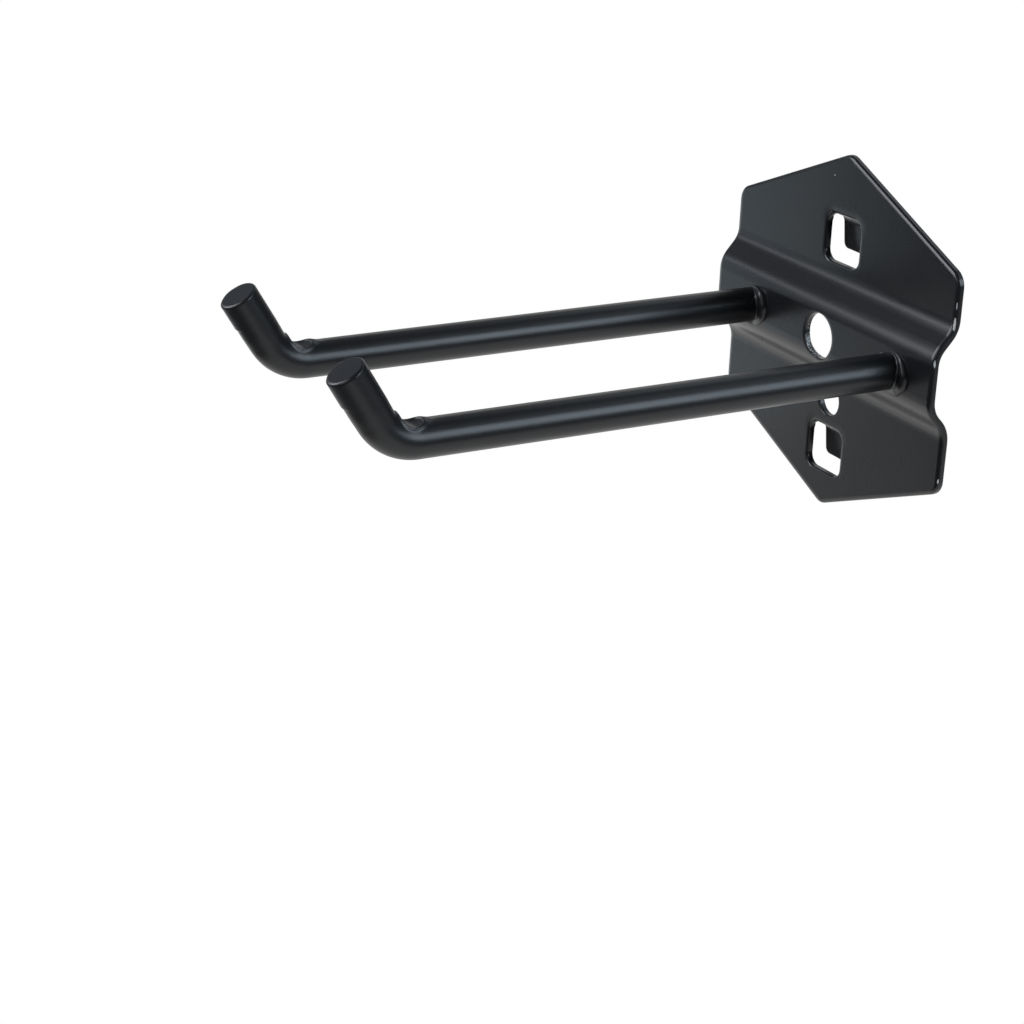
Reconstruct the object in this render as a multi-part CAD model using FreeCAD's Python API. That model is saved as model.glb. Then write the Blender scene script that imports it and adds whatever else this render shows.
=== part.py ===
"""Double hook for a perforated tool panel with square holes.

One pressed steel plate carries two round bars. The bars stand square to the plate and turn up at
their front ends. Two tabs, lanced out of the plate, hook behind the panel.

Frame: the panel's face is the plane y = 0 and the panel lies at y > 0. The bars point to -Y,
+Z is up, and x = 0 is the plate's middle line. The origin is on the panel's face, level with the bars.
Lengths are in millimetres, angles in degrees.
"""
import FreeCAD, Part
import math
import os

# Pitch of the panel's square holes, which the two tabs hook into
PANEL_PITCH = 38.0

# Plate: a pointed outline pressed from one sheet, its points a margin beyond the pitch
PLATE_WIDTH = 64.0
POINT_MARGIN = 12.8
PLATE_HEIGHT = PANEL_PITCH + 2 * POINT_MARGIN
SHOULDER_HEIGHT = 37.2
SHEET = 1.2
CORNER_RADIUS = 3.0
FRONT_EDGE_ROUND = 0.45
BACK_EDGE_ROUND = 0.2

# Raised band across the middle of the plate, measured on the middle of the sheet
BAND_RAISE = 3.5
BAND_TOP = 5.6
BAND_BOTTOM = -4.1
UPPER_SLOPE_HEIGHT = 4.0
LOWER_SLOPE_HEIGHT = 3.6
UPPER_BEND_RADIUS = 4.5
LOWER_BEND_RADIUS = 5.0

# Windows, one pitch apart and both a little below the middle, their top edges drawn back into a wider round.
# RIM_START is the slope at which each round leaves the sheet's front skin.
WINDOW_DROP = 2.5
WINDOW_WIDTH = 9.8
WINDOW_HEIGHT = 8.2
WINDOW_CORNER = 2.0
WINDOW_TOP_ROUND = 1.1
WINDOW_SIDE_ROUND = 0.35
RIM_START = 12.0

# Tabs lanced out of the windows, bent back over the panel's sheet and down behind it
TAB_WIDTH = 8.2
TAB_ROOT_WIDTH = 9.4
TAB_ROOT_FLARE = 0.55
TAB_ROOT_RELIEF = 0.3
TAB_GAP = 1.6
TAB_BEND_ANGLE = 75.0
TAB_ROOT_BEND_RADIUS = 0.3
TAB_BEND_RADIUS = 1.9
TAB_ROOT_LENGTH = 0.4
TAB_END_CLEARANCE = 1.8
TAB_LEAD_ANGLE = 6.0
TAB_CORNER = 1.1
TAB_EDGE_ROUND = 0.25

# Holes: one in the middle of the band, one a narrow web above the lower tab's bend
CENTRE_HOLE_RADIUS = 4.0
CENTRE_HOLE_EDGE = 0.25
LOWER_HOLE_RADIUS = 2.9
LOWER_HOLE_WEB = 1.3
LOWER_HOLE_EDGE = 0.35

# Bars, each a margin in from the plate's side
ARM_SIDE_MARGIN = 11.2
ARM_RADIUS = 3.1
ARM_BEND_START = 92.2
ARM_BEND_RADIUS = 8.0
TIP_ANGLE = 59.0
TIP_LENGTH = 9.8
TIP_EDGE_ROUND = 0.45

# Mark that the crowned bending roller leaves inside each bend, at an angle from the bend's start
ROLLER_RADIUS = 2.5
ROLLER_CROWN_RADIUS = 9.0
ROLLER_MARK_ANGLE = 17.5
ROLLER_MARK_DEPTH = 0.9
ROLLER_MARK_EDGE = 0.15

# Weld bead round each bar's foot, and the skirt that runs down where the band bends away from it
WELD_WIDTH = 1.65
WELD_HEIGHT = 1.6
WELD_BULGE = 0.62
WELD_SKIRT = 1.3

BAND_FACE_Y = -(BAND_RAISE + SHEET)
X_AXIS = FreeCAD.Vector(1, 0, 0)
Y_AXIS = FreeCAD.Vector(0, 1, 0)


def section_point(point):
    """A point (y, z) of the side view, on the plane x = 0."""
    return FreeCAD.Vector(0, point[0], point[1])


def turn(point, corner, following, radius):
    """The arc that rounds a corner: its start, middle and end, its centre, and which way it turns."""
    ahead_in = (corner - point).normalize()
    ahead_out = (following - corner).normalize()
    angle = ahead_in.getAngle(ahead_out)
    reach = radius * math.tan(angle / 2)
    side = 1.0 if ahead_in.cross(ahead_out).x > 0 else -1.0
    start = corner - ahead_in * reach
    end = corner + ahead_out * reach
    centre = start + X_AXIS.cross(ahead_in) * (side * radius)
    middle = centre + (corner - centre).normalize() * radius
    return start, middle, end, centre, side


def offset_edges(path, radii, offset):
    """Lines and arcs beside a bent path: offset is positive to the left of the path, seen from +X."""
    edges = []
    ahead = (path[1] - path[0]).normalize()
    last = path[0] + X_AXIS.cross(ahead) * offset
    for before, corner, following, radius in zip(path, path[1:], path[2:], radii):
        start, middle, end, centre, side = turn(before, corner, following, radius)
        scale = (radius - side * offset) / radius
        start, middle, end = [centre + (p - centre) * scale for p in (start, middle, end)]
        edges.append(Part.makeLine(last, start))
        edges.append(Part.Arc(start, middle, end).toShape())
        last = end
    ahead = (path[-1] - path[-2]).normalize()
    edges.append(Part.makeLine(last, path[-1] + X_AXIS.cross(ahead) * offset))
    return edges


def bent_strip(points, radii, width):
    """Sheet metal strip: a path in the side view, given the sheet's thickness and a width along X."""
    path = [section_point(p) for p in points]
    left = offset_edges(path, radii, SHEET / 2)
    right = offset_edges(path, radii, -SHEET / 2)
    first = Part.makeLine(left[0].Vertexes[0].Point, right[0].Vertexes[0].Point)
    last = Part.makeLine(left[-1].Vertexes[-1].Point, right[-1].Vertexes[-1].Point)
    wire = Part.Wire(Part.__sortEdges__(left + [last] + right + [first]))
    face = Part.Face(wire)
    face.translate(FreeCAD.Vector(-width / 2, 0, 0))
    return face.extrude(FreeCAD.Vector(width, 0, 0))


def rounded_prism(corners, radius, depth_from, depth_to):
    """A prism along Y whose outline is given by (x, z) corners, each rounded by the same radius."""
    outline = [FreeCAD.Vector(x, depth_from, z) for x, z in corners]
    block = Part.Face(Part.makePolygon(outline + outline[:1])).extrude(Y_AXIS * (depth_to - depth_from))
    upright = [e for e in block.Edges if abs(e.tangentAt(e.FirstParameter).dot(Y_AXIS)) > 0.999]
    return block.makeFillet(radius, upright)


def hole_cutter(x, z, radius):
    """A round bar along Y, long enough to pass through every part of the plate."""
    start = FreeCAD.Vector(x, BAND_FACE_Y - SHEET, z)
    return Part.makeCylinder(radius, BAND_RAISE + 3 * SHEET, start, Y_AXIS)


def rim_edges(plate, towards_front, inside=None):
    """Edges between the sheet's front or back skin and its cut walls, kept by a test on their middle."""
    sign = -1 if towards_front else 1
    found = []
    for edge in plate.Edges:
        middle = edge.valueAt((edge.FirstParameter + edge.LastParameter) / 2)
        slopes = []
        for face in plate.ancestorsOfType(edge, Part.Face):
            normal = face.normalAt(*face.Surface.parameter(middle))
            slopes.append(sign * normal.y)
        skin = max(slopes) > 0.5
        wall = min(abs(s) for s in slopes) < 0.01
        if skin and wall and (inside is None or inside(middle)):
            found.append(edge)
    return found


def as_solid(shape):
    """The single solid of a shape, with its volume positive."""
    solid = shape.Solids[0] if shape.Solids else Part.Solid(shape.Shells[0])
    if solid.Volume < 0:
        solid.reverse()
    return solid


def window_centres():
    """Heights of the two windows' middles, the upper one first."""
    return [PANEL_PITCH / 2 - WINDOW_DROP, -PANEL_PITCH / 2 - WINDOW_DROP]


def lower_hole_z():
    """Height of the small hole, above the lower window's top round."""
    window_top = window_centres()[1] + WINDOW_HEIGHT / 2
    return window_top + WINDOW_TOP_ROUND + LOWER_HOLE_WEB + LOWER_HOLE_RADIUS


def rounded_wire(half_width, z_low, z_high, radius, y):
    """A rectangle with round corners, square to Y."""
    inner = half_width - radius
    slant = radius * (1 - math.sqrt(0.5))
    edges = []
    for side in (1, -1):
        low, high = (z_low, z_high) if side > 0 else (z_high, z_low)
        away, back = (1, -1) if side > 0 else (-1, 1)
        corner = [
            FreeCAD.Vector(side * inner, y, low),
            FreeCAD.Vector(side * (half_width - slant), y, low + away * slant),
            FreeCAD.Vector(side * half_width, y, low + away * radius),
        ]
        far_corner = [
            FreeCAD.Vector(side * half_width, y, high + back * radius),
            FreeCAD.Vector(side * (half_width - slant), y, high + back * slant),
            FreeCAD.Vector(side * inner, y, high),
        ]
        edges.append(Part.Arc(*corner).toShape())
        edges.append(Part.makeLine(corner[-1], far_corner[0]))
        edges.append(Part.Arc(*far_corner).toShape())
        edges.append(Part.makeLine(far_corner[-1], FreeCAD.Vector(-side * inner, y, high)))
    return Part.Wire(edges)


def rim_offset(radius, depth):
    """How far a round rim stands back from the wall, at a depth below the sheet's front skin.

    The round leaves the skin at RIM_START degrees and goes on straight in front of it.
    """
    start = math.radians(RIM_START)
    if depth < 0:
        return radius * (1 - math.sin(start)) - depth / math.tan(start)
    left = max(radius * math.cos(start) - depth, 0)
    return radius - math.sqrt(radius * radius - left * left)


def window_cutter(window_z):
    """The room of one window: its round front rim is wide along the top and narrow on the other sides.

    A smooth loft through the outlines at growing depths: the first just in front of the sheet, then the
    round, then three straight ones that lead it out behind.
    """
    low, high = window_z - WINDOW_HEIGHT / 2, window_z + WINDOW_HEIGHT / 2
    steps = 8
    angles = [math.radians(RIM_START + (90 - RIM_START) * k / steps) for k in range(steps + 1)]
    depths = [WINDOW_TOP_ROUND * (math.cos(angles[0]) - math.cos(angle)) for angle in angles]
    behind = [depths[-1] + SHEET * share for share in (0.15, 0.4, 1.0)]
    wires = []
    for depth in [-0.02 * SHEET] + depths + behind:
        side = rim_offset(WINDOW_SIDE_ROUND, depth)
        top = rim_offset(WINDOW_TOP_ROUND, depth)
        wires.append(
            rounded_wire(WINDOW_WIDTH / 2 + side, low - side, high + top, WINDOW_CORNER + side, depth - SHEET)
        )
    return as_solid(Part.makeLoft(wires, True))


def root_relief(window_z):
    """The shallow step at the back of a window's upper corners, so that the tab leaves the sheet beside them."""
    low = window_z + WINDOW_HEIGHT / 2 - WINDOW_CORNER
    start = FreeCAD.Vector(-TAB_ROOT_WIDTH / 2, -TAB_ROOT_RELIEF, low)
    return Part.makeBox(TAB_ROOT_WIDTH, SHEET, WINDOW_CORNER + TAB_ROOT_LENGTH, start)


def tab(window_z):
    """The tab of one window: bent back from the sheet above it, then down behind the panel."""
    window_top = window_z + WINDOW_HEIGHT / 2
    free_end = window_z - WINDOW_HEIGHT / 2 + TAB_END_CLEARANCE
    bend = math.radians(TAB_BEND_ANGLE)
    root_radius = TAB_ROOT_BEND_RADIUS + SHEET / 2
    outer_radius = TAB_ROOT_BEND_RADIUS + SHEET
    bend_start = window_top + outer_radius * math.sin(bend)
    root_z = bend_start - root_radius * math.tan(bend / 2)
    back_y = TAB_GAP + SHEET / 2
    back_z = root_z - (back_y + SHEET / 2) / math.tan(bend)
    lead = math.tan(math.radians(TAB_LEAD_ANGLE)) * (back_z - free_end)
    strip = bent_strip(
        [
            (-SHEET / 2, bend_start + TAB_ROOT_LENGTH),
            (-SHEET / 2, root_z),
            (back_y, back_z),
            (back_y + lead, free_end),
        ],
        [root_radius, TAB_BEND_RADIUS + SHEET / 2],
        TAB_ROOT_WIDTH,
    )
    trimmed = strip.common(tab_outline(window_top, free_end)).Solids[0]
    rims = [e for e in trimmed.Edges if is_tab_rim(e, window_top - TAB_ROOT_FLARE)]
    return trimmed.makeFillet(TAB_EDGE_ROUND, rims)


def tab_outline(window_top, free_end):
    """A prism along Y with the tab's outline: wide at the root, with a small flare down to its width."""
    root, half = TAB_ROOT_WIDTH / 2, TAB_WIDTH / 2
    high = window_top + 4 * SHEET
    corners = [(-half, free_end), (half, free_end), (half, window_top), (root, window_top)]
    corners += [(root, high), (-root, high), (-root, window_top), (-half, window_top)]
    outline = [FreeCAD.Vector(x, -2 * SHEET, z) for x, z in corners]
    block = Part.Face(Part.makePolygon(outline + outline[:1])).extrude(Y_AXIS * (8 * SHEET))
    for radius, z in ((TAB_CORNER, free_end - SHEET), (TAB_ROOT_FLARE, window_top)):
        here = [e for e in block.Edges if is_along_y(e) and abs(abs(e.CenterOfMass.x) - half) < 0.01]
        block = block.makeFillet(radius, [e for e in here if abs(e.CenterOfMass.z - z) < SHEET + 0.01])
    return block


def is_along_y(edge):
    """Whether an edge is a straight line along Y."""
    return isinstance(edge.Curve, Part.Line) and abs(edge.Curve.Direction.y) > 0.999


def is_tab_rim(edge, below_z):
    """Whether an edge bounds the two skins of a tab's hanging part."""
    box = edge.BoundBox
    across = box.YLength > 0.7 * SHEET and box.ZLength < 0.5 * SHEET
    return box.ZMax < below_z + 0.01 and box.YMin > 0 and not across


def band_bend_radius(slope_height, wanted):
    """Radius of a slope's two bends: the one wanted, or as much as the slope has room for."""
    angle = math.atan2(BAND_RAISE, slope_height)
    slope_length = math.hypot(BAND_RAISE, slope_height)
    return min(wanted, 0.49 * slope_length / math.tan(angle / 2))


def back_plate():
    """The pressed plate with its raised band, windows, tabs and holes."""
    top = PLATE_HEIGHT / 2
    shoulder = SHOULDER_HEIGHT / 2
    side = PLATE_WIDTH / 2
    raised_y = -(BAND_RAISE + SHEET / 2)
    lower_radius = band_bend_radius(LOWER_SLOPE_HEIGHT, LOWER_BEND_RADIUS)
    upper_radius = band_bend_radius(UPPER_SLOPE_HEIGHT, UPPER_BEND_RADIUS)
    strip = bent_strip(
        [
            (-SHEET / 2, -top),
            (-SHEET / 2, BAND_BOTTOM - LOWER_SLOPE_HEIGHT),
            (raised_y, BAND_BOTTOM),
            (raised_y, BAND_TOP),
            (-SHEET / 2, BAND_TOP + UPPER_SLOPE_HEIGHT),
            (-SHEET / 2, top),
        ],
        [lower_radius, lower_radius, upper_radius, upper_radius],
        PLATE_WIDTH,
    )
    outline = rounded_prism(
        [(0, top), (side, shoulder), (side, -shoulder), (0, -top), (-side, -shoulder), (-side, shoulder)],
        CORNER_RADIUS,
        BAND_FACE_Y - SHEET,
        SHEET,
    )
    plate = strip.common(outline).Solids[0]
    plate = plate.makeFillet(FRONT_EDGE_ROUND, rim_edges(plate, True))
    plate = plate.makeFillet(BACK_EDGE_ROUND, rim_edges(plate, False))

    for z in window_centres():
        opened = plate.cut(window_cutter(z)).cut(root_relief(z))
        plate = opened.fuse(tab(z)).removeSplitter().Solids[0]

    for z, radius, edge in (
        (0, CENTRE_HOLE_RADIUS, CENTRE_HOLE_EDGE),
        (lower_hole_z(), LOWER_HOLE_RADIUS, LOWER_HOLE_EDGE),
    ):
        plate = plate.cut(hole_cutter(0, z, radius)).Solids[0]
        in_hole = lambda p, z=z, radius=radius: math.hypot(p.x, p.z - z) < radius + 0.01
        plate = plate.makeFillet(edge, rim_edges(plate, True, in_hole))
    return plate


def in_front_of(plate, shape):
    """What is left of a shape in front of the plate, so that its foot follows the plate's face."""
    return max(shape.cut(plate).Solids, key=lambda solid: solid.Volume)


def arm(x, plate):
    """One bar: straight out from the plate, then turned up, with the roller's mark inside the bend."""
    angle = math.radians(TIP_ANGLE)
    foot = FreeCAD.Vector(x, BAND_FACE_Y + SHEET / 2, 0)
    bend_start = FreeCAD.Vector(x, -ARM_BEND_START, 0)
    bend_centre = bend_start + FreeCAD.Vector(0, 0, ARM_BEND_RADIUS)

    def around_bend(turned, radius):
        return bend_centre + FreeCAD.Vector(0, -math.sin(turned), -math.cos(turned)) * radius

    bend_middle = around_bend(angle / 2, ARM_BEND_RADIUS)
    bend_end = around_bend(angle, ARM_BEND_RADIUS)
    tip_end = bend_end + FreeCAD.Vector(0, -math.cos(angle), math.sin(angle)) * TIP_LENGTH
    path = Part.Wire(
        [
            Part.makeLine(foot, bend_start),
            Part.Arc(bend_start, bend_middle, bend_end).toShape(),
            Part.makeLine(bend_end, tip_end),
        ]
    )
    section = Part.Wire(Part.makeCircle(ARM_RADIUS, foot, Y_AXIS))
    bar = path.makePipeShell([section], True, False)
    if bar.Volume < 0:
        bar.reverse()
    end_rim = [e for e in bar.Edges if is_ring_at(e, tip_end)]
    bar = in_front_of(plate, bar.makeFillet(TIP_EDGE_ROUND, end_rim))

    roller_centre = around_bend(
        math.radians(ROLLER_MARK_ANGLE), ARM_BEND_RADIUS - ARM_RADIUS + ROLLER_MARK_DEPTH - ROLLER_RADIUS
    )
    marked = bar.cut(roller(roller_centre)).Solids[0]
    on_roller = [e for e in marked.Edges if is_near_roller(e, roller_centre)]
    return marked.makeFillet(ROLLER_MARK_EDGE, on_roller)


def roller(centre):
    """The crowned bending roller: a barrel round an axis along X."""
    reach = 1.5 * ARM_RADIUS
    end_radius = ROLLER_RADIUS - ROLLER_CROWN_RADIUS + math.sqrt(ROLLER_CROWN_RADIUS**2 - reach**2)
    left = centre + FreeCAD.Vector(-reach, 0, 0)
    right = centre + FreeCAD.Vector(reach, 0, 0)
    left_rim, right_rim = [p + FreeCAD.Vector(0, 0, end_radius) for p in (left, right)]
    crown = Part.Arc(left_rim, centre + FreeCAD.Vector(0, 0, ROLLER_RADIUS), right_rim).toShape()
    half = Part.Wire(
        [Part.makeLine(left, left_rim), crown, Part.makeLine(right_rim, right), Part.makeLine(right, left)]
    )
    return Part.Face(half).revolve(centre, X_AXIS, 360)


def is_ring_at(edge, centre):
    """Whether an edge is the full circle round a bar's end at this centre."""
    round_edge = isinstance(edge.Curve, Part.Circle)
    return round_edge and edge.Curve.Center.distanceToPoint(centre) < 0.01


def is_near_roller(edge, centre):
    """Whether an edge lies on the roller's crowned face."""
    span = edge.LastParameter - edge.FirstParameter
    points = [edge.valueAt(edge.FirstParameter + span * share) - centre for share in (0.2, 0.5, 0.8)]
    crown_centre = ROLLER_RADIUS - ROLLER_CROWN_RADIUS
    return all(
        abs(math.hypot(math.hypot(p.y, p.z) - crown_centre, p.x) - ROLLER_CROWN_RADIUS) < 0.02 for p in points
    )


def weld(x, plate):
    """The bead round one bar's foot: a ring with a bulging face, and a skirt that the plate cuts off."""
    inner, outer = ARM_RADIUS, ARM_RADIUS + WELD_WIDTH

    def section_corner(radius, height):
        return FreeCAD.Vector(x + radius, BAND_FACE_Y - height, 0)

    toe = section_corner(outer, 0)
    crest = section_corner(inner + WELD_BULGE * WELD_WIDTH, WELD_BULGE * WELD_HEIGHT)
    neck = section_corner(inner, WELD_HEIGHT)
    skirt_end = section_corner(outer + WELD_SKIRT, -WELD_SKIRT)
    skirt_foot = section_corner(inner, -WELD_SKIRT)
    section = Part.Wire(
        [
            Part.Arc(neck, crest, toe).toShape(),
            Part.makeLine(toe, skirt_end),
            Part.makeLine(skirt_end, skirt_foot),
            Part.makeLine(skirt_foot, neck),
        ]
    )
    ring = Part.Face(section).revolve(FreeCAD.Vector(x, 0, 0), Y_AXIS, 360)
    return in_front_of(plate, ring)


def build():
    """Every piece of the hook by name."""
    plate = back_plate()
    right = PLATE_WIDTH / 2 - ARM_SIDE_MARGIN
    return {
        "back_plate": plate,
        "left_arm": arm(-right, plate),
        "right_arm": arm(right, plate),
        "left_weld": weld(-right, plate),
        "right_weld": weld(right, plate),
    }


os.makedirs("parts", exist_ok=True)
for name, shape in build().items():
    solid = as_solid(shape)
    solid.exportStep("parts/" + name + ".step")
    box = solid.BoundBox
    print(
        f"{name}: valid {solid.isValid()}, volume {solid.Volume:.1f} mm3, faces {len(solid.Faces)}, "
        f"x {box.XMin:.2f}..{box.XMax:.2f}, y {box.YMin:.2f}..{box.YMax:.2f}, z {box.ZMin:.2f}..{box.ZMax:.2f}"
    )
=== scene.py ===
"""The look of the double hook: its powder coat, its bent bars with the roller's marks, and its weld beads.

Lengths are in metres and angles in radians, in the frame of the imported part: the panel's face is the
plane y = 0, the bars point to -Y, +Z is up and x = 0 is the plate's middle line.
"""
import bpy
import math
import numpy as np
from mathutils import Matrix, Vector


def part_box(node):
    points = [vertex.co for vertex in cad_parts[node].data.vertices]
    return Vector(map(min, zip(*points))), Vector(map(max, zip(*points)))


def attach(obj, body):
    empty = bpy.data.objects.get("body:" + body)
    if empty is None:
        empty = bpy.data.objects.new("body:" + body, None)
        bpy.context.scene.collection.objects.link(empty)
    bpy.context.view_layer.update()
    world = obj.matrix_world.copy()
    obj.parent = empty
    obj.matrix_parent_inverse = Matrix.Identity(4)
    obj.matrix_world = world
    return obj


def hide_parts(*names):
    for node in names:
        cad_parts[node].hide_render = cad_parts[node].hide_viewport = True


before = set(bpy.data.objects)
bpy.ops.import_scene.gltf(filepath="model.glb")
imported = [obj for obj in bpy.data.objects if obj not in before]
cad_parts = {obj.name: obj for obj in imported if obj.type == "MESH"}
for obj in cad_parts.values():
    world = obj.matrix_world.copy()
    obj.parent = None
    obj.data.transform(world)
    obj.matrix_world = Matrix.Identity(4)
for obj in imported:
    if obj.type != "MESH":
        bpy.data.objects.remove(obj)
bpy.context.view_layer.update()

MM = 0.001

# Where the camera stood and how it looked, fitted to the edges of the square photograph
CAMERA_PLACE = Vector((318.05, -239.16, 119.69)) * MM
CAMERA_AIM = Vector((-7.80, -59.65, -27.27)) * MM
CAMERA_ROLL = math.radians(2.184)
CAMERA_CLIP = (0.01, 50.0)
FOCAL_PIXELS = 2350.0
PHOTO_PIXELS = 1024
SENSOR_MILLIMETRES = 36.0

# The bars: their place and thickness come from the CAD nodes, and their feet sink a little into the plate
arm_low, arm_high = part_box("right_arm")
plate_low, plate_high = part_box("back_plate")
ARM_X = (arm_low.x + arm_high.x) / 2
ARM_RADIUS = (arm_high.x - arm_low.x) / 2
BAND_FACE_Y = plate_low.y
FOOT_SINK = 0.4 * MM
BEND_START_Y = -92.2 * MM
BEND_RADIUS = 8.0 * MM
TIP_ANGLE = math.radians(59.0)
TIP_LENGTH = 9.8 * MM

# The cropped end: its rim's radius, the rim's mean width as a share of that, how much wider it gets on the
# outer side, and how uneven it is
TIP_ROUND = 0.45 * MM
CROP_WIDTH = 1.15
CROP_LEAN = 0.35
CROP_WAVE = 0.12
CROP_RIPPLE = 0.08

# Up the tip the bar swells a little, between two places counted from the bend's end
TIP_SWELL = 0.08 * MM
SWELL_START = -1.0 * MM
SWELL_END = 3.0 * MM

# The scuff that a clamp left on one flank of the tip: how far above the bend it starts, over what length it
# rises, how high it stands, and where round the bar it is
CLAMP_START = 4.5 * MM
CLAMP_RISE = 0.5 * MM
CLAMP_STEP = 0.14 * MM
CLAMP_TURN = math.radians(-100)
CLAMP_SPAN = math.radians(24)

# The mark that the crowned bending roller left inside each bend: only what is near the roller is marked
ROLLER_RADIUS = 2.5 * MM
ROLLER_CROWN = 9.0 * MM
ROLLER_ANGLE = math.radians(17.5)
ROLLER_DEPTH = 0.9 * MM
ROLLER_NEAR = 2 * ROLLER_RADIUS

# The lip of metal that the roller pushed up. Its width is measured along the bar, through the sine of the
# angle at which roller and bar cross, and that sine's square counts as no less than the last value.
LIP_HEIGHT = 0.24 * MM
LIP_WIDTH = 0.5 * MM
LIP_LEAST_CROSSING = 0.04

# How finely a bar is drawn: rows along the straight, closer ones from a lead before the bend up to the tip,
# rows over the rim and over the end, and columns round
STRAIGHT_ROWS = 70
BEND_LEAD = 1.0 * MM
BEND_ROWS = 230
END_ROWS = 10
ARM_COLUMNS = 144

# The plate's raised band, seen from the side: heights on the middle of the sheet
SHEET = 1.2 * MM
BAND_RAISE = -BAND_FACE_Y - SHEET
BAND_BOTTOM = -4.1 * MM
LOWER_SLOPE = 3.6 * MM
LOWER_BEND = 5.0 * MM

# The plate's outline, middle hole and windows, where the press cut the sheet, as the part's source has them
PANEL_PITCH = 38.0 * MM
POINT_MARGIN = 12.8 * MM
POINT_Z = PANEL_PITCH / 2 + POINT_MARGIN
SHOULDER_Z = 18.6 * MM
HOLE_RADIUS = 4.0 * MM
WINDOW_HALF_X = 4.9 * MM
WINDOW_HALF_Z = 4.1 * MM
WINDOW_CORNER = 2.0 * MM
WINDOW_DROP = 2.5 * MM
WINDOW_Z = (PANEL_PITCH / 2 - WINDOW_DROP, -PANEL_PITCH / 2 - WINDOW_DROP)

# How the press drew the front face in along those cuts. Round the outline it sinks by a depth, in full up
# to one distance from the edge and not at all past another, and its two edges join over a soft corner.
EDGE_DRAW = 0.14 * MM
EDGE_DRAW_REACH = (0.1 * MM, 0.9 * MM)
EDGE_DRAW_CORNER = 1.5 * MM

# Beside the hole and the windows: how wide and how deep
HOLE_DRAW = (0.7 * MM, 0.10 * MM)
WINDOW_SIDE_DRAW = (0.8 * MM, 0.13 * MM)
WINDOW_TOP_DRAW = (2.1 * MM, 0.19 * MM)

# The weld bead: shares of its height at growing shares of its width. Both are greatest on the bar's
# two flanks, turned a little from the level on each bar, and least above and below it.
WELD_OUT = np.array([0.0, 0.10, 0.35, 0.70, 0.90, 1.0])
WELD_UP = np.array([1.0, 0.76, 0.84, 0.76, 0.50, 0.0])
WELD_WIDTH = (0.75 * MM, 1.85 * MM)
WELD_HEIGHT = (0.22 * MM, 1.15 * MM)
WELD_TURN = {1: math.radians(-12), -1: math.radians(15)}
WELD_FLANK_POWER = 1.6

# A hand-laid bead swings in size as it goes round, slowly and quickly
WELD_SWING = 0.04
WELD_RIPPLE = 0.03

# Where the bead starts and stops above the bar it is thin: the angle, its span and what it loses there
WELD_STOP = math.radians(118)
WELD_STOP_SPAN = math.radians(42)
WELD_STOP_LOSS = 0.80

# How far the bead's closed section goes into the bar and into the plate, and how finely it is drawn
WELD_INTO_BAR = 0.3 * MM
WELD_INTO_PLATE = 0.5 * MM
WELD_COLUMNS = 180
WELD_ROWS = 28

# The coat's two near blacks, and the noise of its grain, of its peel and of the clouds that it varies in:
# the size of its blots and the detail in them
COAT_DARK = "#121315"
COAT_LIGHT = "#191a1d"
GRAIN = (0.35 * MM, 3.0)
PEEL = (1.4 * MM, 1.0)
CLOUDS = (14 * MM, 3.0)

# The coat's relief: its depth, how much of it shows, and the grain's share beside the peel
COAT_RELIEF = 0.03 * MM
COAT_BUMP = 0.35
GRAIN_SHARE = 0.25

# The least roughness of the coat, which went on thicker and grainier round the bars, what the clouds add to
# it, and how strongly the coat mirrors
PLATE_ROUGHNESS = 0.24
BAR_ROUGHNESS = 0.30
CLOUD_ROUGHNESS = 0.08
COAT_SPECULAR = 0.45

# Bare steel, from its dull grains to its near-white ones, which are painted glints, by the grain's noise
# between two values
STEEL_DULL = "#9b9a97"
STEEL_PAINTED_GLINT = "#fbfaf6"
STEEL_GRAINS = (0.30, 0.50)

# Torn flecks in the hole's wall: the noise at which they start and are full, what is added to it at the
# wall's foot, the distances from the hole's axis over which the wall ends, and how bare they look
FLECK_EDGE = (0.64, 0.76)
FLECK_LOW_GAIN = 0.17
HOLE_WALL = (HOLE_RADIUS + 0.02 * MM, HOLE_RADIUS + 0.05 * MM)
HOLE_BARE = 0.5

# Worn spots in the coat on the plate's right-hand edge, and specks on its face, painted near white, which
# are partly wear and partly painted highlights on the edge: place, half width, half length
WORN_SPOTS_AND_PAINTED_HIGHLIGHTS = (
    (Vector((31.85, -1.2, 10.85)) * MM, 0.22 * MM, 1.15 * MM),
    (Vector((31.85, -4.4, 4.4)) * MM, 0.17 * MM, 0.60 * MM),
    (Vector((31.85, -1.1, 13.9)) * MM, 0.09 * MM, 0.55 * MM),
    (Vector((31.85, -1.1, -16.4)) * MM, 0.14 * MM, 0.40 * MM),
    (Vector((28.3, -2.5, 6.8)) * MM, 0.10 * MM, 0.10 * MM),
    (Vector((-3.8, -1.2, 27.3)) * MM, 0.10 * MM, 0.10 * MM),
)

# How ragged the edges of these worn spots and painted highlights are and where they fade, how rough they
# are, and how much they shine as metal does
WORN_AND_HIGHLIGHT_RAGGED = 1.2
WORN_AND_HIGHLIGHT_EDGE = (1.55, 1.75)
WORN_AND_HIGHLIGHT_RELIEF = 4.0
WORN_AND_HIGHLIGHT_METALLIC = 0.4

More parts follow.
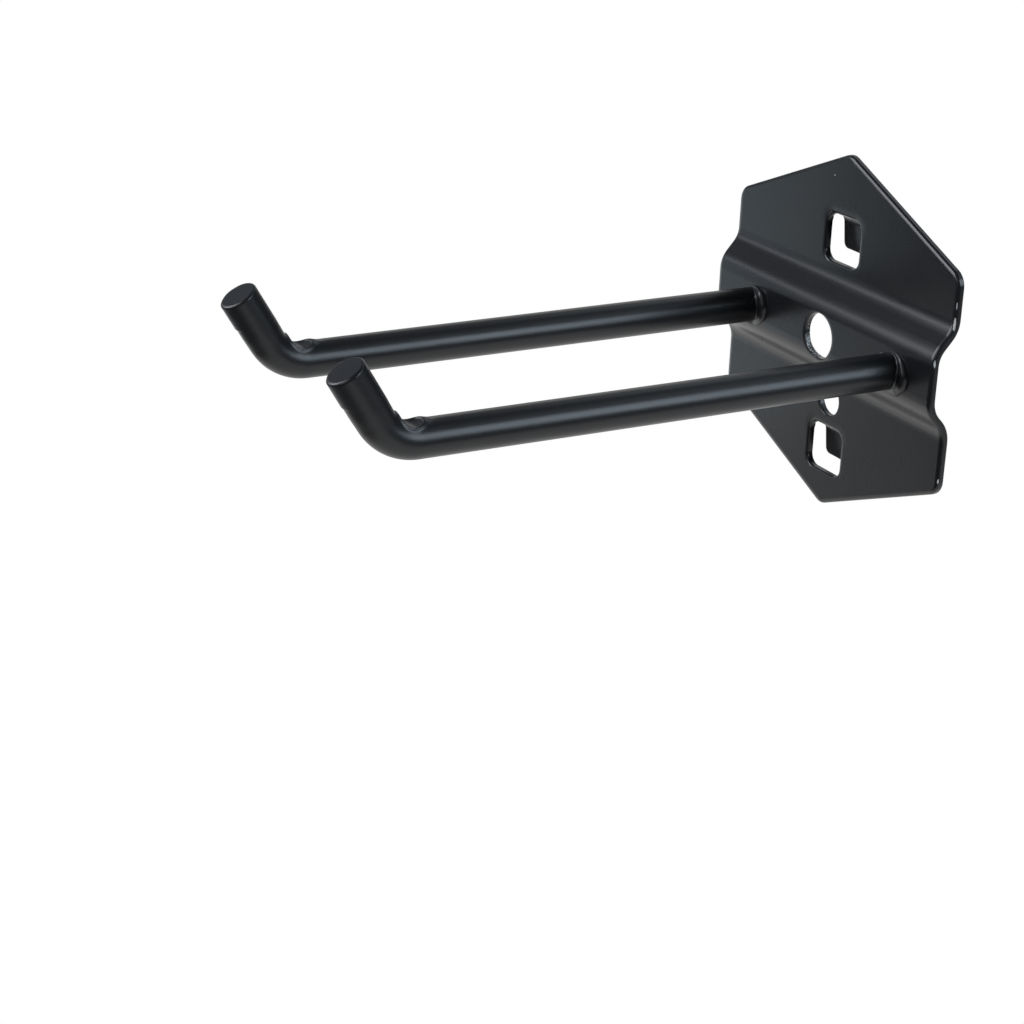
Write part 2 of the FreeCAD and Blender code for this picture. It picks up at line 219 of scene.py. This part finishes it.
# Lamps: name, the way to it from the object, its distance, width, height and radiance, and its tint
LAMPS = (
    ("window", (0.83, 0.38, 0.41), 0.53, 0.30, 0.28, 6.2, "#dcecfa"),
    ("ceiling", (-0.86, -0.11, 0.50), 0.60, 0.25, 0.25, 0.33, "#dcebff"),
    ("skylight", (-0.36, 0.57, 0.73), 0.60, 0.24, 0.26, 0.95, "#e6f0f8"),
    ("overhead", (0.30, 0.57, 0.74), 0.60, 0.36, 0.30, 0.75, "#e2f0fa"),
    ("backdrop", (-0.80, 0.50, 0.34), 0.70, 0.45, 0.42, 0.8, "#ffffff"),
    ("horizon", (-0.77, -0.60, 0.24), 0.60, 0.40, 0.08, 1.5, "#ecf3ff"),
    ("front", (-0.44, -0.80, 0.40), 0.60, 0.26, 0.40, 7.5, "#f4f7ff"),
    ("side", (-0.935, -0.36, -0.16), 0.19, 0.105, 0.10, 0.74, "#e2f5ff"),
    ("table", (-0.37, -0.285, -0.20), 0.51, 0.22, 0.10, 0.46, "#ffffff"),
    ("fill", (0.35, -0.85, 0.40), 0.70, 0.42, 0.42, 0.8, "#ffffff"),
)
WORLD_TINT = "#f4f7ff"
WORLD_LEVEL = 0.10
FLOOR_LOW = Vector((-3.0, -0.19, -0.20))
FLOOR_HIGH = Vector((0.5, 3.0, -0.20))
FLOOR_PAINT = "#f2f2f2"
FLOOR_SHINE = "#ffffff"


def linear(hex_colour):
    """An sRGB hex colour as the linear RGBA that a shader takes."""
    channels = [int(hex_colour[i : i + 2], 16) / 255 for i in (1, 3, 5)]
    lit = [c / 12.92 if c <= 0.04045 else ((c + 0.055) / 1.055) ** 2.4 for c in channels]
    return (*lit, 1.0)


def add(tree, kind, *terms, **named):
    """Adds a shader node with its settings and links, and gives the node.

    Terms fill its sockets in their order. A name is one of its own options, or a socket's with _ for each
    space. A socket takes a value, another socket, or a node, which stands for its first output.
    """
    node = tree.nodes.new("ShaderNode" + kind)
    sockets = dict(enumerate(terms))
    for name, value in named.items():
        if hasattr(node, name):
            setattr(node, name, value)
        else:
            sockets[name.replace("_", " ")] = value
    for key, term in sockets.items():
        source = term.outputs[0] if isinstance(term, bpy.types.Node) else term
        if isinstance(source, bpy.types.NodeSocket):
            tree.links.new(source, node.inputs[key])
        else:
            node.inputs[key].default_value = source
    return node


def past(tree, value, edge):
    """How far a value lies past an edge, and 0 before it."""
    apart = add(tree, "Math", value, edge, operation="SUBTRACT")
    return add(tree, "Math", apart, 0.0, operation="MAXIMUM")


def drawn_in(tree, distance, width, depth):
    """How deep the sheet sinks at a distance from a cut: depth (1 - distance / width)^2 up to the width."""
    share = add(tree, "Math", distance, -1 / width, 1.0, operation="MULTIPLY_ADD")
    left = add(tree, "Math", share, 0.0, operation="MAXIMUM")
    squared = add(tree, "Math", left, 2.0, operation="POWER")
    return add(tree, "Math", squared, depth, operation="MULTIPLY")


def outline_rim(tree, x_apart, z):
    """How deep the press drew the front face in along the plate's outline.

    The outline is |x| = X and a |x| + b |z| = c, with (a, b) square to the line from point to shoulder.
    """
    run, drop = plate_high.x, POINT_Z - SHOULDER_Z
    slant = math.hypot(run, drop)
    a, b = drop / slant, run / slant
    from_side = add(tree, "Math", run, x_apart, operation="SUBTRACT")
    z_apart = add(tree, "Math", z, operation="ABSOLUTE")
    rising = add(tree, "Math", z_apart, b, operation="MULTIPLY")
    slanted = add(tree, "Math", x_apart, a, rising, operation="MULTIPLY_ADD")
    from_slant = add(tree, "Math", b * POINT_Z, slanted, operation="SUBTRACT")
    nearest = add(tree, "Math", from_side, from_slant, EDGE_DRAW_CORNER, operation="SMOOTH_MIN")
    return add(tree, "MapRange", nearest, *EDGE_DRAW_REACH, EDGE_DRAW, 0.0, interpolation_type="SMOOTHSTEP")


def window_rim(tree, x_apart, z, middle):
    """How deep the press drew the front face in beside one window and above it.

    Outside a corner whose centre is at (X, Z) a point lies away by hypot(|x| - X, z - Z), each part at
    least 0. The side's rim turns to the top's by the upward part's share, and ends at the window's foot.
    """
    beside = past(tree, x_apart, WINDOW_HALF_X - WINDOW_CORNER)
    above = past(tree, z, middle + WINDOW_HALF_Z - WINDOW_CORNER)
    corner = add(tree, "CombineXYZ", beside, above)
    away = add(tree, "VectorMath", corner, operation="LENGTH").outputs["Value"]
    upward = add(tree, "Math", above, away, operation="DIVIDE")
    distance = past(tree, away, WINDOW_CORNER)
    foot = middle - WINDOW_HALF_Z
    level = add(tree, "MapRange", z, foot, foot + WINDOW_CORNER, 0.0, 1.0, interpolation_type="SMOOTHSTEP")
    side = add(tree, "Math", drawn_in(tree, distance, *WINDOW_SIDE_DRAW), level, operation="MULTIPLY")
    top = drawn_in(tree, distance, *WINDOW_TOP_DRAW)
    return add(tree, "Mix", upward, A=side, B=top)


def press_rims(tree, x_apart, z, from_hole):
    """How deep the press drew the front face in beside the outline, the middle hole and the windows."""
    hole_rim = drawn_in(tree, past(tree, from_hole, HOLE_RADIUS), *HOLE_DRAW)
    deep = add(tree, "Math", outline_rim(tree, x_apart, z), hole_rim, operation="ADD")
    for middle in WINDOW_Z:
        deep = add(tree, "Math", deep, window_rim(tree, x_apart, z, middle), operation="ADD")
    return deep


def torn_wall(tree, z, from_hole, grain):
    """Where the middle hole's wall is torn steel: flecks of its grain, more of them low down."""
    low_down = add(tree, "MapRange", z, -HOLE_RADIUS, HOLE_RADIUS, 1.0, 0.0, interpolation_type="SMOOTHSTEP")
    torn = add(tree, "Math", low_down, FLECK_LOW_GAIN, grain, operation="MULTIPLY_ADD")
    flecks = add(tree, "MapRange", torn, *FLECK_EDGE, 0.0, 1.0, interpolation_type="SMOOTHSTEP")
    in_hole = add(tree, "MapRange", from_hole, *HOLE_WALL, 1.0, 0.0, interpolation_type="SMOOTHSTEP")
    on_wall = add(tree, "Math", in_hole, flecks, operation="MULTIPLY")
    return add(tree, "Math", on_wall, HOLE_BARE, operation="MULTIPLY")


def worn_spots_and_painted_highlights(tree, place, grain):
    """Where the coat is worn off in spots and painted near white, partly as wear and partly as painted
    highlights on the plate's edge.

    Round each spot, |(p - spot) / (wide, wide, long)| plus a share of the grain, which makes the outline
    ragged, is less than the spot's edge.
    """
    wear_and_highlights = 0.0
    for spot, wide, long in WORN_SPOTS_AND_PAINTED_HIGHLIGHTS:
        away = add(tree, "VectorMath", place, spot, operation="SUBTRACT")
        shares = add(tree, "VectorMath", away, (wide, wide, long), operation="DIVIDE")
        size = add(tree, "VectorMath", shares, operation="LENGTH").outputs["Value"]
        ragged = add(tree, "Math", grain, WORN_AND_HIGHLIGHT_RAGGED, size, operation="MULTIPLY_ADD")
        wear_and_highlight = add(tree, "MapRange", ragged, *WORN_AND_HIGHLIGHT_EDGE, 1.0, 0.0, interpolation_type="SMOOTHSTEP")
        wear_and_highlights = add(tree, "Math", wear_and_highlights, wear_and_highlight, operation="MAXIMUM")
    return wear_and_highlights


def powder_coat(on_plate):
    """Satin black polyester powder coat, baked on steel: near black, with fine grain over a soft peel.

    On the plate it also has worn spots, painted near white as partly wear and partly painted highlights on
    the edge, a bare hole wall whose near-white grains are painted glints, and the soft rims where the press
    drew the sheet in.
    """
    material = bpy.data.materials.new("powder_coat_on_plate" if on_plate else "powder_coat_on_bars")
    material.use_nodes = True
    tree = material.node_tree
    tree.nodes.clear()
    place = add(tree, "TexCoord").outputs["Object"]
    grain, peel, cloud = [
        add(tree, "TexNoise", Vector=place, Scale=1 / size, Detail=detail)
        for size, detail in (GRAIN, PEEL, CLOUDS)
    ]
    colour = add(tree, "MixRGB", cloud, linear(COAT_DARK), linear(COAT_LIGHT))
    least = PLATE_ROUGHNESS if on_plate else BAR_ROUGHNESS
    rough = add(tree, "Math", cloud, CLOUD_ROUGHNESS, least, operation="MULTIPLY_ADD")
    relief = add(tree, "Math", grain, GRAIN_SHARE, peel, operation="MULTIPLY_ADD")
    metallic = 0.0
    under = {}
    if on_plate:
        x, _, z = add(tree, "SeparateXYZ", place).outputs
        x_apart = add(tree, "Math", x, operation="ABSOLUTE")
        from_axis = add(tree, "CombineXYZ", x, 0.0, z)
        from_hole = add(tree, "VectorMath", from_axis, operation="LENGTH").outputs["Value"]
        # Worn spots painted near white: partly wear, partly painted highlights on the plate's right-hand
        # edge and specks on its face
        wear_and_highlights = worn_spots_and_painted_highlights(tree, place, grain)
        bare = add(tree, "Math", torn_wall(tree, z, from_hole, grain), wear_and_highlights, operation="MAXIMUM")
        # The bare steel's near-white grains are painted glints, on the hole's wall and on the worn spots
        glint_share = add(tree, "MapRange", grain, *STEEL_GRAINS, 0.0, 1.0, interpolation_type="SMOOTHSTEP")
        steel = add(tree, "MixRGB", glint_share, linear(STEEL_DULL), linear(STEEL_PAINTED_GLINT))
        colour = add(tree, "MixRGB", bare, colour, steel)
        metallic = add(tree, "Math", wear_and_highlights, WORN_AND_HIGHLIGHT_METALLIC, operation="MULTIPLY")
        bare_grain = add(tree, "Math", bare, grain, operation="MULTIPLY")
        relief = add(tree, "Math", bare_grain, WORN_AND_HIGHLIGHT_RELIEF, relief, operation="MULTIPLY_ADD")
        sunk = add(tree, "Math", press_rims(tree, x_apart, z, from_hole), -1.0, operation="MULTIPLY")
        under["Normal"] = add(tree, "Bump", Height=sunk, Strength=1.0, Distance=1.0)
    bump = add(tree, "Bump", Height=relief, Strength=COAT_BUMP, Distance=COAT_RELIEF, **under)
    finish = {"Base_Color": colour, "Metallic": metallic, "Roughness": rough, "Normal": bump}
    coat = add(tree, "BsdfPrincipled", Specular_IOR_Level=COAT_SPECULAR, **finish)
    add(tree, "OutputMaterial", Surface=coat)
    return material


def grid_mesh(name, points, ring, material):
    """A mesh from a grid of points whose columns go round. Its rows end at poles, or close in a ring too."""
    rows, columns = points.shape[:2]
    index = np.arange(rows * columns).reshape(rows, columns)
    if ring:
        index = np.concatenate([index, index[:1]])
    across = np.roll(index, -1, axis=1)
    quads = np.stack([index[:-1], across[:-1], across[1:], index[1:]], axis=-1).reshape(-1, 4)
    mesh = bpy.data.meshes.new(name)
    mesh.from_pydata(points.reshape(-1, 3).tolist(), [], quads.tolist())
    mesh.polygons.foreach_set("use_smooth", np.ones(len(quads), bool))
    mesh.materials.append(material)
    mesh.update()
    piece = bpy.data.objects.new(name, mesh)
    bpy.context.scene.collection.objects.link(piece)
    return piece


def arm_path(length):
    """The bar's centre line in the side view at given lengths from its foot: points and directions (y, z).

    It runs straight out, round the bend on a circle, then straight up the tip.
    """
    straight = BAND_FACE_Y - BEND_START_Y
    bend = BEND_RADIUS * TIP_ANGLE
    turned = np.clip((length - straight) / BEND_RADIUS, 0, TIP_ANGLE)
    climb = np.maximum(length - straight - bend, 0)
    run = np.minimum(length, straight) + BEND_RADIUS * np.sin(turned) + climb * math.cos(TIP_ANGLE)
    rise = BEND_RADIUS * (1 - np.cos(turned)) + climb * math.sin(TIP_ANGLE)
    return np.stack([BAND_FACE_Y - run, rise], -1), np.stack([-np.cos(turned), np.sin(turned)], -1)


def soft_step(value, low, high):
    """Goes from 0 to 1 between two values, flat at both ends."""
    share = np.clip((value - low) / (high - low), 0, 1)
    return share * share * (3 - 2 * share)


def soft_peak(angle, middle, span):
    """Is 1 at an angle round the bar and falls off on both sides of it, to 1/e at the span."""
    off = np.angle(np.exp(1j * (angle - middle)))
    return np.exp(-((off / span) ** 2))


def bar_surface(side):
    """One bar before the roller marks it, as a grid of x from its axis, y and z, its angles and its normals.

    A point of the circle at angle a is centre + r (cos a, sin a) in the plane square to the line, where
    sin a > 0 faces the inside of the bend. Up the tip r grows by a swell, and one narrow flank stands
    out by a step where the clamp held it. At the tip r shrinks along a quarter circle, wider on the
    outer side and uneven as a cropped end is, then to nothing.
    """
    bend_start = BAND_FACE_Y - BEND_START_Y
    bend_end = bend_start + BEND_RADIUS * TIP_ANGLE
    lead = bend_start - BEND_LEAD
    straight = np.linspace(-FOOT_SINK, lead, STRAIGHT_ROWS, endpoint=False)
    bent = np.linspace(lead, bend_end + TIP_LENGTH - TIP_ROUND, BEND_ROWS)
    length = np.concatenate([straight, bent])
    centre, ahead = arm_path(length)
    radius = ARM_RADIUS + TIP_SWELL * soft_step(length, bend_end + SWELL_START, bend_end + SWELL_END)
    clamp = CLAMP_STEP * soft_step(length, bend_end + CLAMP_START, bend_end + CLAMP_START + CLAMP_RISE)
    angle = np.linspace(0, 2 * math.pi, ARM_COLUMNS, endpoint=False)
    radius = radius[:, None] + clamp[:, None] * soft_peak(angle, CLAMP_TURN, CLAMP_SPAN)

    cap = np.linspace(0, math.pi / 2, END_ROWS)[1:]
    flat = np.linspace(1, 0, END_ROWS)[1:]
    shrink = np.concatenate([1 - np.cos(cap), np.ones(len(flat))])
    share = np.concatenate([np.ones(len(cap)), flat])
    forward = np.concatenate([np.sin(cap), np.ones(len(flat))]) * TIP_ROUND
    waves = CROP_WAVE * np.sin(3 * angle + side) + CROP_RIPPLE * np.sin(7 * angle)
    uneven = CROP_WIDTH - CROP_LEAN * np.sin(angle) + waves
    rim = (radius[-1] - TIP_ROUND * shrink[:, None] * uneven) * share[:, None]
    centre = np.concatenate([centre, centre[-1] + ahead[-1] * forward[:, None]])
    radius = np.concatenate([radius, rim])
    ahead = np.concatenate([ahead, np.repeat(ahead[-1:], len(forward), 0)])

    inward = np.stack([ahead[:, 1], -ahead[:, 0]], -1)
    y, z = [centre[:, i, None] + radius * np.sin(angle) * inward[:, i, None] for i in (0, 1)]
    normal = [np.cos(angle)] + [np.sin(angle) * inward[:, i, None] for i in (0, 1)]
    return (radius * np.cos(angle), y, z), angle, normal


def arm(side, material):
    """One bar with the bending roller's mark.

    The roller is the barrel hypot(d - (R - C), x) < C, where d is the distance from its axis, R is its
    radius and C is its crown's. Points inside are moved out onto it. At a distance s outside its edge the
    metal is raised as a lip, by H exp(-(2 s / W - 1)^2) for the lip's height H and width W.
    """
    (x, y, z), angle, normal = bar_surface(side)
    from_bend = BEND_RADIUS - ARM_RADIUS + ROLLER_DEPTH - ROLLER_RADIUS
    roller_y = BEND_START_Y - from_bend * math.sin(ROLLER_ANGLE)
    roller_z = BEND_RADIUS - from_bend * math.cos(ROLLER_ANGLE)
    away = np.hypot(y - roller_y, z - roller_z)
    from_ring = away - (ROLLER_RADIUS - ROLLER_CROWN)
    barrel = np.hypot(from_ring, x)
    across = from_ring / barrel / away
    out = [x / barrel, (y - roller_y) * across, (z - roller_z) * across]
    facing = sum(n * o for n, o in zip(normal, out))
    crossing = np.sqrt(np.clip(1 - facing**2, LIP_LEAST_CROSSING, 1))
    from_edge = (barrel - ROLLER_CROWN) / crossing
    near = (away < ROLLER_NEAR) & (np.sin(angle) > 0)
    pressed = np.where(near, np.maximum(ROLLER_CROWN - barrel, 0), 0)
    crest = LIP_WIDTH / 2
    lip = LIP_HEIGHT * np.exp(-(((from_edge - crest) / crest) ** 2)) * near * (from_edge > 0)
    x, y, z = [p + o * pressed + n * lip for p, o, n in zip((x, y, z), out, normal)]
    points = np.stack([side * ARM_X + x, y, z], -1)
    return grid_mesh("bar_right" if side > 0 else "bar_left", points, False, material)


def band_face(z):
    """The y of the band's front face at heights near the bars: flat, then round the lower bend."""
    lean = math.atan2(BAND_RAISE, LOWER_SLOPE)
    round_start = BAND_BOTTOM + LOWER_BEND * math.tan(lean / 2)
    outer = LOWER_BEND + SHEET / 2
    below = np.clip(round_start - z, 0, outer * math.sin(lean))
    return BAND_FACE_Y + outer - np.sqrt(outer**2 - below**2)


def weld(side, material):
    """The weld bead round one bar's foot, as a ring with a closed section.

    Round the bar at angle t the section runs over distances p from the bar's axis: the bead's face lies
    at band_face(z) - h(p), with z = p sin t, and the section closes behind the plate's face and inside
    the bar. The width and the height go with a power of |cos(t - t0)| between their least and greatest,
    and swing a little with t. Above the bar, where the bead stops, both shrink.
    """
    turn = np.linspace(0, 2 * math.pi, WELD_COLUMNS, endpoint=False)
    out = np.linspace(0, 1, WELD_ROWS)
    up = np.interp(out, WELD_OUT, WELD_UP)
    smoothing = np.array([1, 2, 3, 2, 1]) / 9
    up[1:-1] = np.convolve(np.pad(up, 2, mode="edge"), smoothing, mode="valid")[1:-1]
    flank = np.abs(np.cos(turn - WELD_TURN[side])) ** WELD_FLANK_POWER
    swing = 1 + WELD_SWING * np.sin(5 * turn + 2 * side) + WELD_RIPPLE * np.sin(11 * turn)
    swing *= 1 - WELD_STOP_LOSS * soft_peak(turn, WELD_STOP, WELD_STOP_SPAN)
    width = (WELD_WIDTH[0] + (WELD_WIDTH[1] - WELD_WIDTH[0]) * flank) * swing
    tall = (WELD_HEIGHT[0] + (WELD_HEIGHT[1] - WELD_HEIGHT[0]) * flank) * swing
    inside = np.full(len(turn), -WELD_INTO_BAR)
    behind = np.full(len(turn), -WELD_INTO_PLATE)
    reach = ARM_RADIUS + np.stack([inside, inside, *(out[:, None] * width), width])
    height = np.stack([behind, tall, *(up[:, None] * tall), behind])
    x, z = reach * np.cos(turn), reach * np.sin(turn)
    points = np.stack([side * ARM_X + x, band_face(z) - height, z], -1)
    return grid_mesh("weld_bead_right" if side > 0 else "weld_bead_left", points, True, material)


def aimed(place, way, roll=0.0):
    """The matrix of a camera or a lamp at a place that looks along a way, turned about it by a roll."""
    turn = way.to_track_quat("-Z", "Y").to_matrix().to_4x4()
    return Matrix.Translation(place) @ turn @ Matrix.Rotation(roll, 4, "Z")


def set_camera():
    """The photograph's camera, turned a little about its own line of sight."""
    data = bpy.data.cameras.new("camera")
    camera = bpy.data.objects.new("camera", data)
    bpy.context.scene.collection.objects.link(camera)
    data.sensor_width = SENSOR_MILLIMETRES
    data.lens = FOCAL_PIXELS / PHOTO_PIXELS * SENSOR_MILLIMETRES
    data.clip_start, data.clip_end = CAMERA_CLIP
    camera.matrix_world = aimed(CAMERA_PLACE, CAMERA_AIM - CAMERA_PLACE, CAMERA_ROLL)
    bpy.context.scene.camera = camera


def set_lamps():
    """Soft boxes: an area lamp of radiance L and area A gives the power L A pi."""
    for name, way, distance, width, height, radiance, tint in LAMPS:
        data = bpy.data.lights.new(name, "AREA")
        data.shape = "RECTANGLE"
        data.size, data.size_y = width, height
        data.energy = radiance * width * height * math.pi
        data.color = linear(tint)[:3]
        lamp = bpy.data.objects.new(name, data)
        bpy.context.scene.collection.objects.link(lamp)
        ahead = Vector(way).normalized()
        lamp.matrix_world = aimed(ahead * distance, -ahead)


def set_floor():
    """A white floor below the hook, which looks white to the camera and in reflections."""
    left, right, front, back, z = FLOOR_LOW.x, FLOOR_HIGH.x, FLOOR_LOW.y, FLOOR_HIGH.y, FLOOR_LOW.z
    corners = [(left, front, z), (right, front, z), (right, back, z), (left, back, z)]
    mesh = bpy.data.meshes.new("floor")
    mesh.from_pydata(corners, [], [(0, 1, 2, 3)])
    floor = bpy.data.objects.new("floor", mesh)
    bpy.context.scene.collection.objects.link(floor)
    material = bpy.data.materials.new("white_floor")
    material.use_nodes = True
    tree = material.node_tree
    tree.nodes.clear()
    path = add(tree, "LightPath").outputs
    seen = add(tree, "Math", path["Is Camera Ray"], path["Is Glossy Ray"], operation="ADD")
    seen = add(tree, "Math", seen, path["Is Transmission Ray"], operation="ADD", use_clamp=True)
    paint = add(tree, "BsdfDiffuse", Color=linear(FLOOR_PAINT))
    shine = add(tree, "Emission", Color=linear(FLOOR_SHINE), Strength=1.0)
    add(tree, "OutputMaterial", Surface=add(tree, "MixShader", seen, paint, shine))
    mesh.materials.append(material)


def set_world():
    """A faint, even light from all round."""
    world = bpy.data.worlds.new("studio")
    world.use_nodes = True
    sky = world.node_tree.nodes["Background"].inputs
    sky["Color"].default_value = linear(WORLD_TINT)
    sky["Strength"].default_value = WORLD_LEVEL
    bpy.context.scene.world = world


set_camera()
coat = powder_coat(False)
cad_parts["back_plate"].material_slots[0].material = powder_coat(True)
for side, name in ((-1, "left"), (1, "right")):
    for piece, node in ((arm(side, coat), name + "_arm"), (weld(side, coat), name + "_weld")):
        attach(piece, "root")
        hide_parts(node)

set_lamps()
set_floor()
set_world()
bpy.context.scene.view_settings.view_transform = "Standard"
